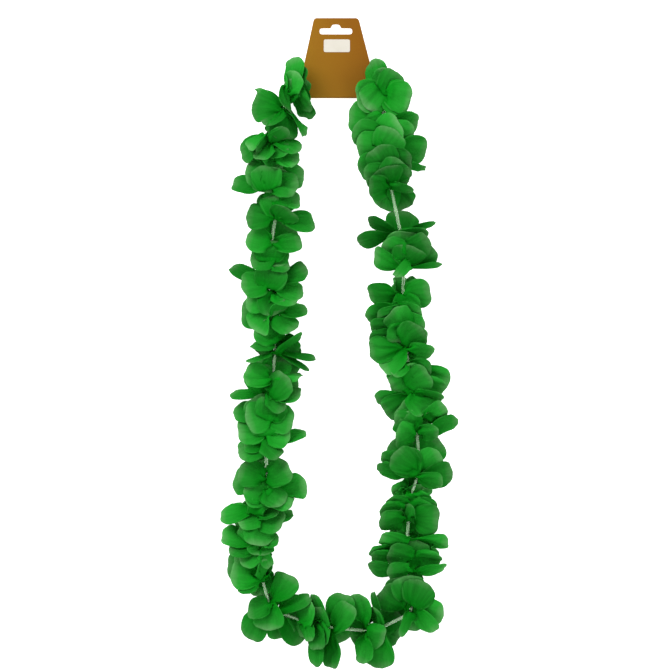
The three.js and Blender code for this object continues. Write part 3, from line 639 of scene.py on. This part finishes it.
def petal_material(name, tint):
    m, nt, b = material(name)
    L = nt.links
    coord = node(nt, "ShaderNodeTexCoord")
    # cloudy dye over the whole lei
    cloud = node(nt, "ShaderNodeTexNoise")
    cloud.inputs["Scale"].default_value = 46
    cloud.inputs["Detail"].default_value = 4
    L.new(coord.outputs["Object"], cloud.inputs["Vector"])
    reach = node(nt, "ShaderNodeAttribute", attribute_name="reach")
    tone_and_shade = node(nt, "ShaderNodeAttribute", attribute_name="tone_and_shade")
    fan = node(nt, "ShaderNodeAttribute", attribute_name="fan")
    edge = node(nt, "ShaderNodeAttribute", attribute_name="edge")
    # streaks that spread from the root of each petal, along the creases; in the colour they are painted light and shade
    # of the crease facets
    spread = node(nt, "ShaderNodeMath", operation="MULTIPLY")
    spread.inputs[1].default_value = 4.2
    L.new(fan.outputs["Fac"], spread.inputs[0])
    own = node(nt, "ShaderNodeMath", operation="MULTIPLY")
    own.inputs[1].default_value = 37.0
    L.new(tone_and_shade.outputs["Fac"], own.inputs[0])
    along = node(nt, "ShaderNodeMath", operation="MULTIPLY")
    along.inputs[1].default_value = 1.6
    L.new(reach.outputs["Fac"], along.inputs[0])
    vec = node(nt, "ShaderNodeCombineXYZ")
    L.new(spread.outputs[0], vec.inputs[0])
    L.new(own.outputs[0], vec.inputs[1])
    L.new(along.outputs[0], vec.inputs[2])
    streak = node(nt, "ShaderNodeTexNoise")
    streak.inputs["Scale"].default_value = 1.0
    streak.inputs["Detail"].default_value = 5
    streak.inputs["Roughness"].default_value = 0.62
    L.new(vec.outputs[0], streak.inputs["Vector"])
    # base colour: from the darker middle of the blossom, painted shade at the crowded hub, out to the paler ends,
    # painted light of light passing through the thin cloth
    mixv = node(nt, "ShaderNodeMath", operation="MULTIPLY_ADD")
    mixv.inputs[1].default_value = 0.30
    L.new(cloud.outputs["Fac"], mixv.inputs[0])
    L.new(reach.outputs["Fac"], mixv.inputs[2])
    scale = node(nt, "ShaderNodeMath", operation="MULTIPLY")
    scale.inputs[1].default_value = 1 / 1.30
    L.new(mixv.outputs[0], scale.inputs[0])
    k = tint * 0.79
    r = ramp(nt, [
        (0.10, (0.0010 * k, 0.178 * k, 0.0024 * k, 1)),
        (0.45, (0.0050 * k, 0.215 * k, 0.0100 * k, 1)),
        (0.74, (0.0190 * k, 0.262 * k, 0.0250 * k, 1)),
        (0.90, (0.0900 * k, 0.306 * k, 0.0850 * k, 1)),
        (1.0, (0.2900 * k, 0.450 * k, 0.2600 * k, 1)),
    ])
    L.new(scale.outputs[0], r.inputs["Fac"])
    # each petal's colour is scaled by its tone, with painted shade and light, and by the streaks, painted light and
    # shade of the creases
    gain = node(nt, "ShaderNodeMath", operation="MULTIPLY_ADD")
    gain.inputs[1].default_value = 0.48
    gain.inputs[2].default_value = 0.58
    L.new(tone_and_shade.outputs["Fac"], gain.inputs[0])
    gain2 = node(nt, "ShaderNodeMath", operation="MULTIPLY_ADD")
    gain2.inputs[1].default_value = 0.80
    L.new(streak.outputs["Fac"], gain2.inputs[0])
    L.new(gain.outputs[0], gain2.inputs[2])
    tinted = node(nt, "ShaderNodeVectorMath", operation="SCALE")
    L.new(r.outputs["Color"], tinted.inputs[0])
    L.new(gain2.outputs[0], tinted.inputs["Scale"])
    # paler rim: partly the frayed cloth, partly painted highlight along the edges
    part = node(nt, "ShaderNodeMath", operation="MULTIPLY_ADD")
    part.inputs[1].default_value = 0.6
    part.inputs[2].default_value = -0.26
    L.new(streak.outputs["Fac"], part.inputs[0])
    fray_and_highlight = node(nt, "ShaderNodeMath", operation="MULTIPLY", use_clamp=True)
    L.new(edge.outputs["Fac"], fray_and_highlight.inputs[0])
    L.new(part.outputs[0], fray_and_highlight.inputs[1])
    mix = node(nt, "ShaderNodeMix", data_type="RGBA")
    L.new(fray_and_highlight.outputs[0], mix.inputs["Factor"])
    L.new(tinted.outputs[0], mix.inputs["A"])
    mix.inputs["B"].default_value = (0.16, 0.42, 0.16, 1)
    L.new(mix.outputs["Result"], b.inputs["Base Color"])
    b.inputs["Roughness"].default_value = 0.5
    b.inputs["Specular IOR Level"].default_value = 0.0
    b.inputs["Sheen Weight"].default_value = 0.0
    b.inputs["Sheen Roughness"].default_value = 0.4
    b.inputs["Sheen Tint"].default_value = (0.5, 1.0, 0.5, 1)
    # weave and small wrinkles
    w1 = node(nt, "ShaderNodeTexWave", wave_type="BANDS", bands_direction="X")
    w1.inputs["Scale"].default_value = 620
    w1.inputs["Distortion"].default_value = 0.6
    w2 = node(nt, "ShaderNodeTexWave", wave_type="BANDS", bands_direction="Y")
    w2.inputs["Scale"].default_value = 620
    w2.inputs["Distortion"].default_value = 0.6
    for t in (w1, w2):
        L.new(coord.outputs["Object"], t.inputs["Vector"])
    add1 = node(nt, "ShaderNodeMath", operation="ADD")
    L.new(w1.outputs["Fac"], add1.inputs[0])
    L.new(w2.outputs["Fac"], add1.inputs[1])
    add2 = node(nt, "ShaderNodeMath", operation="MULTIPLY_ADD")
    add2.inputs[1].default_value = 9.0
    L.new(streak.outputs["Fac"], add2.inputs[0])
    L.new(add1.outputs[0], add2.inputs[2])
    bump = node(nt, "ShaderNodeBump")
    bump.inputs["Strength"].default_value = 0.42
    bump.inputs["Distance"].default_value = 0.00012
    L.new(add2.outputs[0], bump.inputs["Height"])
    L.new(bump.outputs["Normal"], b.inputs["Normal"])
    return m


petal_mats = [petal_material(f"petal_cloth_{k}", t) for k, t in enumerate((0.94, 1.0, 1.07))]


def straw_material():
    m, nt, b = material("clear_straw_plastic")
    L = nt.links
    coord = node(nt, "ShaderNodeTexCoord")
    n1 = node(nt, "ShaderNodeTexNoise")
    n1.inputs["Scale"].default_value = 240
    L.new(coord.outputs["Object"], n1.inputs["Vector"])
    r = ramp(nt, [(0.3, (0.70, 0.94, 0.66, 1)), (0.7, (0.80, 0.98, 0.76, 1))])
    L.new(n1.outputs["Fac"], r.inputs["Fac"])
    L.new(r.outputs["Color"], b.inputs["Base Color"])
    b.inputs["Roughness"].default_value = 0.16
    b.inputs["IOR"].default_value = 1.46
    b.inputs["Transmission Weight"].default_value = 0.88
    bump = node(nt, "ShaderNodeBump")
    bump.inputs["Strength"].default_value = 0.06
    bump.inputs["Distance"].default_value = 0.00003
    L.new(n1.outputs["Fac"], bump.inputs["Height"])
    L.new(bump.outputs["Normal"], b.inputs["Normal"])
    return m


def thread_material():
    m, nt, b = material("twisted_thread")
    L = nt.links
    coord = node(nt, "ShaderNodeTexCoord")
    n1 = node(nt, "ShaderNodeTexNoise")
    n1.inputs["Scale"].default_value = 900
    n1.inputs["Detail"].default_value = 3
    L.new(coord.outputs["Object"], n1.inputs["Vector"])
    r = ramp(nt, [(0.3, (0.60, 0.80, 0.56, 1)), (0.7, (0.68, 0.86, 0.64, 1))])
    L.new(n1.outputs["Fac"], r.inputs["Fac"])
    L.new(r.outputs["Color"], b.inputs["Base Color"])
    b.inputs["Roughness"].default_value = 0.75
    b.inputs["Sheen Weight"].default_value = 0.2
    bump = node(nt, "ShaderNodeBump")
    bump.inputs["Strength"].default_value = 0.2
    bump.inputs["Distance"].default_value = 0.00008
    L.new(n1.outputs["Fac"], bump.inputs["Height"])
    L.new(bump.outputs["Normal"], b.inputs["Normal"])
    return m


def card_material(name, pale=False):
    m, nt, b = material(name)
    L = nt.links
    coord = node(nt, "ShaderNodeTexCoord")
    sep = node(nt, "ShaderNodeSeparateXYZ")
    L.new(coord.outputs["Object"], sep.inputs[0])
    if pale:
        base = ramp(nt, [(0.2, (0.60, 0.56, 0.48, 1)), (0.8, (0.68, 0.64, 0.57, 1))])
        n0 = node(nt, "ShaderNodeTexNoise")
        n0.inputs["Scale"].default_value = 90
        L.new(coord.outputs["Object"], n0.inputs["Vector"])
        L.new(n0.outputs["Fac"], base.inputs["Fac"])
        colour = base.outputs["Color"]
    else:
        # printed blend from yellow at the left and bottom to red-brown at the right
        gx = node(nt, "ShaderNodeMath", operation="MULTIPLY_ADD")
        gx.inputs[1].default_value = 11.0
        gx.inputs[2].default_value = 0.5
        L.new(sep.outputs["X"], gx.inputs[0])
        gy = node(nt, "ShaderNodeMath", operation="MULTIPLY_ADD")
        gy.inputs[1].default_value = 4.2
        gy.inputs[2].default_value = -0.96
        L.new(sep.outputs["Y"], gy.inputs[0])
        s = node(nt, "ShaderNodeMath", operation="ADD")
        L.new(gx.outputs[0], s.inputs[0])
        L.new(gy.outputs[0], s.inputs[1])
        n0 = node(nt, "ShaderNodeTexNoise")
        n0.inputs["Scale"].default_value = 30
        n0.inputs["Detail"].default_value = 2
        L.new(coord.outputs["Object"], n0.inputs["Vector"])
        s2 = node(nt, "ShaderNodeMath", operation="MULTIPLY_ADD")
        s2.inputs[1].default_value = 0.25
        L.new(n0.outputs["Fac"], s2.inputs[0])
        L.new(s.outputs[0], s2.inputs[2])
        base = ramp(nt, [
            (0.15, (0.300, 0.155, 0.0068, 1)),
            (0.50, (0.270, 0.120, 0.0062, 1)),
            (0.90, (0.235, 0.086, 0.0036, 1)),
        ])
        L.new(s2.outputs[0], base.inputs["Fac"])
        colour = base.outputs["Color"]
    L.new(colour, b.inputs["Base Color"])
    b.inputs["Roughness"].default_value = 0.5
    b.inputs["Specular IOR Level"].default_value = 0.08
    fibre = node(nt, "ShaderNodeTexNoise")
    fibre.inputs["Scale"].default_value = 700
    fibre.inputs["Detail"].default_value = 4
    L.new(coord.outputs["Object"], fibre.inputs["Vector"])
    bump = node(nt, "ShaderNodeBump")
    bump.inputs["Strength"].default_value = 0.15
    bump.inputs["Distance"].default_value = 0.00006
    L.new(fibre.outputs["Fac"], bump.inputs["Height"])
    L.new(bump.outputs["Normal"], b.inputs["Normal"])
    return m


straw_mat = straw_material()
thread_mat = thread_material()
card_mat = card_material("printed_card_orange")
paper_mat = card_material("card_paper", pale=True)

# ---------------------------------------------------------------- blossoms
def flat_area():
    """The area of one layer before it is folded."""
    total = 0.0
    pts = np.zeros((RINGS, COLS, 2))
    for j, sj in enumerate(ring_s):
        r_side = HUB_R + (R_SIDE - HUB_R) * sj
        for k, th in enumerate(theta):
            tip_r = R_SIDE + (PETAL_LENGTH - R_SIDE) * max(0.0, math.cos(th)) ** BLUNT
            along = HUB_R + (tip_r - HUB_R) * sj
            pts[j, k] = (along, T[k] * half_width(sj))
    for j in range(RINGS - 1):
        for k in range(COLS - 1):
            a, b, c, d = pts[j, k], pts[j, k + 1], pts[j + 1, k + 1], pts[j + 1, k]
            total += abs(np.cross(c - a, d - b)) / 2
    return 5 * total / 1e6


CUT_AREA = flat_area()
order = [(i, which) for i in range(COUNT) for which in ("A", "M", "B") if which in PETALS[i + 1]]
layers = [layer_petals(i, which) for i, which in order]
grid = np.array([g for five, _ in layers for g in five])
grid = settle(grid, 12, 0.5)
for n, (i, which) in enumerate(order):
    P, faces = layer_mesh([grid[n * 5 + k] for k in range(5)])
    P = on_table(P)
    verts, allf, rim = thicken(P, faces, CLOTH)
    ob = new_mesh("blossom_%02d_%s_layer" % (i + 1, {"A": "front", "M": "middle", "B": "back"}[which]), verts, allf,
                  petal_mats[n % 3], rim)
    # for the colour: how far out each point is, its place across, the rim, and each petal's own tone with painted shade
    # and light
    values = {name: np.zeros(len(P), np.float32) for name in ("reach", "fan", "edge", "tone_and_shade")}
    for (k, j, c), at in layer_index.items():
        values["reach"][at] = FRAC[j, c]
        values["fan"][at] = FAN[j, c]
        values["edge"][at] = RIM[j, c]
        blend = float(smooth((ring_s[j] - 0.12) / 0.3))
        # random tone per petal, plus painted shade and light per blossom and per petal
        values["tone_and_shade"][at] = 0.5 + BLOSSOM_SHADE_AND_DYE[i + 1] + ((TONES[(n * 5 + k) % len(TONES)] - 0.5) * (0.4 if layers[n][1][k] else 1.0) + layers[n][1][k]) * blend
    for name, val in values.items():
        att = ob.data.attributes.new(name, "FLOAT", "POINT")
        att.data.foreach_set("value", np.concatenate([val, val]))
    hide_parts(f"flower_{i + 1:02d}")
    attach(ob, "root")


def tube_mesh(name, start, end, outer, inner, mat, sides=28):
    """A clear tube cut square at both ends, with softly rounded rims."""
    axis = unit(end - start)
    a = u_perp(axis)
    b = np.cross(axis, a)
    length = np.linalg.norm(end - start)
    e = min(0.12, (outer - inner) / 3)
    rings = max(2, int(length / 3))
    profile = [(inner, e), (inner + e, 0.0), (outer - e, 0.0), (outer, e)]
    profile += [(outer, e + (length - 2 * e) * k / rings) for k in range(1, rings + 1)]
    profile += [(outer - e, length), (inner + e, length), (inner, length - e)]
    profile += [(inner, length - e - (length - 2 * e) * k / rings) for k in range(1, rings)]
    verts, faces = [], []
    for r, y in profile:
        for k in range(sides):
            t = 2 * math.pi * k / sides
            verts.append(start + axis * y + a * r * math.cos(t) + b * r * math.sin(t))
    n = len(profile)
    for j in range(n):
        for k in range(sides):
            faces.append((j * sides + k, j * sides + (k + 1) % sides,
                          ((j + 1) % n) * sides + (k + 1) % sides, ((j + 1) % n) * sides + k))
    return new_mesh(name, verts, faces, mat)


# straws, and the short spacer inside each blossom whose layers stand apart
for i in range(COUNT - 1):
    start, end = hubs[i]["leave"], hubs[i + 1]["enter"]
    d = unit(end - start)
    cut = 0.15 + STRAW_OUTER * math.sin(math.acos(min(1, d @ hubs[i]["axis"])))
    cut_end = 0.15 + STRAW_OUTER * math.sin(math.acos(min(1, d @ hubs[i + 1]["axis"])))
    ob = tube_mesh(f"clear_straw_{i + 1:02d}", start + d * cut, end - d * cut_end, STRAW_OUTER, STRAW_INNER, straw_mat)
    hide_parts(f"straw_{i + 1:02d}")
    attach(ob, "root")
for i, h in enumerate(hubs):
    if h["len"] > 7.5:
        half = h["len"] / 2 - 0.5
        ob = tube_mesh(f"inner_spacer_{i + 1:02d}", h["at"] - h["axis"] * half, h["at"] + h["axis"] * half,
                       STRAW_OUTER, STRAW_INNER, straw_mat, 20)
        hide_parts(f"flower_{i + 1:02d}")
        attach(ob, "root")

# ---------------------------------------------------------------- string: a two-ply twisted thread
FOLD_OUTER = 2.8
FOLD_Y = 195.6 + FOLD_OUTER / 2
FOLD_Z = FOLD_OUTER / 2
route = [(36.2, 197.2, 4.2), (35.4, 197.0, 2.4), (34.0, FOLD_Y, 1.6), (31.0, FOLD_Y, FOLD_Z),
         (-33.6, FOLD_Y, FOLD_Z), (-36.0, FOLD_Y, 1.6), (-37.2, 197.4, 2.8), (-37.2, 198.2, 4.6), (-36.4, 199.6, 7.2)]
route = [np.array(p) + SHIFT for p in route]
for h in hubs:
    route += [h["enter"], h["leave"]]
route += [np.array(p) + SHIFT for p in ((34.2, 198.4, 7.2), (35.6, 197.4, 5.4), (36.2, 197.25, 4.5))]


def resample(points, step):
    pts = np.array(points)
    seg = np.linalg.norm(np.diff(pts, axis=0), axis=1)
    s = np.concatenate([[0], np.cumsum(seg)])
    n = int(s[-1] / step)
    q = np.linspace(0, s[-1], n + 1)
    return np.stack([np.interp(q, s, pts[:, a]) for a in range(3)], -1)


def sweep(name, path, radius, plies, pitch, mat, sides=10):
    """A rope of two or three plies along a path, as one closed skin."""
    path = np.asarray(path)
    n = len(path)
    tg = np.gradient(path, axis=0)
    tg /= np.linalg.norm(tg, axis=1)[:, None]
    a = u_perp(tg[0])
    verts = []
    s = 0.0
    for k in range(n):
        if k:
            s += np.linalg.norm(path[k] - path[k - 1])
        a = unit(a - tg[k] * (a @ tg[k]))
        b = np.cross(tg[k], a)
        twist = 2 * math.pi * s / pitch
        for j in range(sides):
            t = 2 * math.pi * j / sides
            r = radius * (0.80 + 0.20 * abs(math.cos(plies / 2 * (t - twist))))
            verts.append(path[k] + r * (a * math.cos(t) + b * math.sin(t)))
    faces = []
    for k in range(n - 1):
        for j in range(sides):
            faces.append((k * sides + j, k * sides + (j + 1) % sides, (k + 1) * sides + (j + 1) % sides, (k + 1) * sides + j))
    verts.append(path[0] - tg[0] * radius * 0.4)
    verts.append(path[-1] + tg[-1] * radius * 0.4)
    for j in range(sides):
        faces.append((len(verts) - 2, (j + 1) % sides, j))
        faces.append((len(verts) - 1, (n - 1) * sides + j, (n - 1) * sides + (j + 1) % sides))
    return new_mesh(name, verts, faces, mat)


line = resample(route, 0.45)
kernel = np.ones(7) / 7
line_s = line.copy()
for a in range(3):
    line_s[3:-3, a] = np.convolve(line[:, a], kernel, mode="valid")
thread = sweep("string_thread", line_s, 0.40, 2, 1.7, thread_mat)
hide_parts("string")
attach(thread, "root")
# the knot: a small overhand knot
ku = np.array([36.2, 197.2, 4.4]) + SHIFT
tk = np.linspace(0, 2 * math.pi, 90, endpoint=True)
kn = np.stack([np.sin(tk) + 2 * np.sin(2 * tk), np.cos(tk) - 2 * np.cos(2 * tk), -1.15 * np.sin(3 * tk)], -1)
kn = ku + kn * 0.40
knot = sweep("string_knot", kn, 0.38, 2, 1.7, thread_mat, 8)
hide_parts("string")
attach(knot, "root")

# ---------------------------------------------------------------- header card
CARD_THICK, CARD_FOLD_Y, CARD_TOP_Y = 0.5, 195.6, 260.0
CARD_BOTTOM, CARD_TOP, CARD_CORNER, CARD_TOP_GAP = (-34.2, 31.6), (-20.4, 15.2), 2.4, 0.4
SLOT_HALF, SLOT_HEIGHT, SLOT_HUMP_HALF, SLOT_HUMP_HEIGHT, SLOT_Y, SLOT_X = 13.2, 5.0, 3.5, 3.1, 246.9, -2.9


def rounded(points, radii, n=7):
    """A polygon with its corners rounded."""
    out = []
    m = len(points)
    for k in range(m):
        p, q, r = (np.array(points[(k - 1) % m], float), np.array(points[k], float), np.array(points[(k + 1) % m], float))
        rad = radii[k]
        if rad <= 0:
            out.append(tuple(q))
            continue
        a, b = q + unit(p - q) * rad, q + unit(r - q) * rad
        for t in np.linspace(0, 1, n):
            out.append(tuple(a * (1 - t) ** 2 + 2 * q * t * (1 - t) + b * t * t))
    return out


def panel_outline():
    y0 = FOLD_Y
    f = (y0 - CARD_FOLD_Y) / (CARD_TOP_Y - CARD_FOLD_Y)
    l0 = CARD_BOTTOM[0] + (CARD_TOP[0] - CARD_BOTTOM[0]) * f
    r0 = CARD_BOTTOM[1] + (CARD_TOP[1] - CARD_BOTTOM[1]) * f
    return rounded([(l0, y0), (r0, y0), (CARD_TOP[1], CARD_TOP_Y), (CARD_TOP[0], CARD_TOP_Y)],
                   [0, 0, CARD_CORNER, CARD_CORNER])


def slot_outline():
    x0, x1 = SLOT_X - SLOT_HALF, SLOT_X + SLOT_HALF
    y0, y1, y2 = SLOT_Y, SLOT_Y + SLOT_HEIGHT, SLOT_Y + SLOT_HEIGHT + SLOT_HUMP_HEIGHT
    h = SLOT_HUMP_HALF
    pts = [(x0, y0), (x1, y0), (x1, y1), (SLOT_X + h + 0.8, y1), (SLOT_X + h * 0.8, y2), (SLOT_X - h * 0.8, y2),
           (SLOT_X - h - 0.8, y1), (x0, y1)]
    return rounded(pts, [2.3, 2.3, 2.3, 0.8, 1.8, 1.8, 0.8, 2.3])


def curve_panel(name, outlines, thick, bevel, mat, lift=None, extra=None):
    """A flat panel with holes, with a fine rounded edge, as a mesh."""
    cu = bpy.data.curves.new(name, "CURVE")
    cu.dimensions = "2D"
    cu.fill_mode = "BOTH"
    cu.extrude = (thick / 2 - bevel) / 1000
    cu.bevel_depth = bevel / 1000
    cu.bevel_resolution = 1
    for o in outlines:
        sp = cu.splines.new("POLY")
        sp.points.add(len(o) - 1)
        for k, p in enumerate(o):
            sp.points[k].co = ((p[0] + SHIFT[0]) / 1000, (p[1] + SHIFT[1]) / 1000, 0, 1)
        sp.use_cyclic_u = True
    tmp = bpy.data.objects.new(name + "_tmp", cu)
    bpy.context.scene.collection.objects.link(tmp)
    deps = bpy.context.evaluated_depsgraph_get()
    me = bpy.data.meshes.new_from_object(tmp.evaluated_get(deps))
    bpy.data.objects.remove(tmp)
    bpy.data.curves.remove(cu)
    bm = bmesh.new()
    bm.from_mesh(me)
    bmesh.ops.remove_doubles(bm, verts=bm.verts, dist=2e-6)
    bmesh.ops.recalc_face_normals(bm, faces=bm.faces)
    if lift:
        for vtx in bm.verts:
            vtx.co = lift(vtx.co)
    bm.to_mesh(me)
    bm.free()
    me.name = name
    me.materials.clear()
    me.materials.append(mat)
    ob = bpy.data.objects.new(name, me)
    bpy.context.scene.collection.objects.link(ob)
    return ob


# one sheet of card: back panel flat on the table, fold, front panel tilted down to it
tilt = math.atan((FOLD_OUTER - 2 * CARD_THICK - CARD_TOP_GAP) / (CARD_TOP_Y - FOLD_Y))


def lift_front(co):
    y = co.y - (FOLD_Y + SHIFT[1]) / 1000
    bow = 0.00035 * math.sin(math.pi * max(0, min(1, y / 0.063)))
    return Vector((co.x, (FOLD_Y + SHIFT[1]) / 1000 + y * math.cos(tilt),
                   (FOLD_OUTER - CARD_THICK / 2) / 1000 - y * math.sin(tilt) + co.z + bow))


def lift_back(co):
    return Vector((co.x, co.y, co.z + CARD_THICK / 2000))


front = curve_panel("card_front_panel", [panel_outline(), slot_outline()], CARD_THICK, 0.08, card_mat, lift_front)
back = curve_panel("card_back_panel", [panel_outline(), slot_outline()], CARD_THICK, 0.08, card_mat, lift_back)
# the fold: a half-round sleeve between the two
n_arc, x_l, x_r = 20, CARD_BOTTOM[0] + 0.35, CARD_BOTTOM[1] - 0.35
verts, faces = [], []
for k in range(n_arc + 1):
    t = math.pi / 2 + math.pi * k / n_arc
    for r in (FOLD_OUTER / 2, FOLD_OUTER / 2 - CARD_THICK):
        for xx in (x_l, x_r):
            verts.append((xx + SHIFT[0], FOLD_Y + SHIFT[1] + r * math.cos(t) + 0.02, FOLD_Z + r * math.sin(t)))
for k in range(n_arc):
    o = k * 4
    faces += [(o, o + 1, o + 5, o + 4), (o + 3, o + 2, o + 6, o + 7), (o + 2, o, o + 4, o + 6), (o + 1, o + 3, o + 7, o + 5)]
faces += [(0, 2, 3, 1), (n_arc * 4, n_arc * 4 + 1, n_arc * 4 + 3, n_arc * 4 + 2)]
fold = new_mesh("card_fold", verts, faces, card_mat)
bm = bmesh.new()
bm.from_mesh(fold.data)
bmesh.ops.recalc_face_normals(bm, faces=bm.faces)
bm.to_mesh(fold.data)
bm.free()
fold.data.set_sharp_from_angle(angle=math.radians(40))
for ob in (front, back, fold):
    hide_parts("header_card")
    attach(ob, "root")

# bare pale label, printed on the front
def on_front(name, outline, mat):
    def lift(co):
        p = lift_front(Vector((co.x, co.y, 0)))
        return Vector((p.x, p.y, p.z + CARD_THICK / 2000 + 0.00002 + co.z))
    ob = curve_panel(name, [outline], 0.06, 0.015, mat, lift)
    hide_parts("header_card")
    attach(ob, "root")
    return ob


on_front("card_blank_label", rounded([(-12.6, 232.6), (8.4, 232.6), (8.4, 242.8), (-12.6, 242.8)], [1.6] * 4), paper_mat)

# ---------------------------------------------------------------- floor, light
floor_mat, fnt, fb = material("pale_floor")
fb.inputs["Base Color"].default_value = (0.93, 0.93, 0.93, 1)
fb.inputs["Roughness"].default_value = 0.9
fb.inputs["Specular IOR Level"].default_value = 0.1
fb.inputs["Emission Color"].default_value = (1, 1, 1, 1)
fb.inputs["Emission Strength"].default_value = 0.85
fme = bpy.data.meshes.new("floor")
S = 3.0
fme.from_pydata([(-S, -S, -0.0002), (S, -S, -0.0002), (S, S, -0.0002), (-S, S, -0.0002)], [], [(0, 1, 2, 3)])
fme.materials.append(floor_mat)
floor = bpy.data.objects.new("floor", fme)
bpy.context.scene.collection.objects.link(floor)

world = bpy.data.worlds.new("studio")
bpy.context.scene.world = world
world.use_nodes = True
wbg = world.node_tree.nodes["Background"]
wbg.inputs["Color"].default_value = (1, 1, 1, 1)
wbg.inputs["Strength"].default_value = 0.84


def area(name, loc, size, power, target=(0, 0, 0)):
    ld = bpy.data.lights.new(name, "AREA")
    ld.shape = "DISK"
    ld.size = size
    ld.energy = power
    ob = bpy.data.objects.new(name, ld)
    ob.location = loc
    ob.rotation_euler = (Vector(target) - Vector(loc)).to_track_quat("-Z", "Y").to_euler()
    bpy.context.scene.collection.objects.link(ob)
    return ob


area("key", (-1.0, 1.1, 1.6), 1.2, 26)
area("fill", (1.1, -0.5, 1.6), 1.2, 8)

scene = bpy.context.scene
scene.view_settings.view_transform = "Standard"
scene.view_settings.look = "None"
scene.view_settings.exposure = 0.0
scene.view_settings.gamma = 1.0
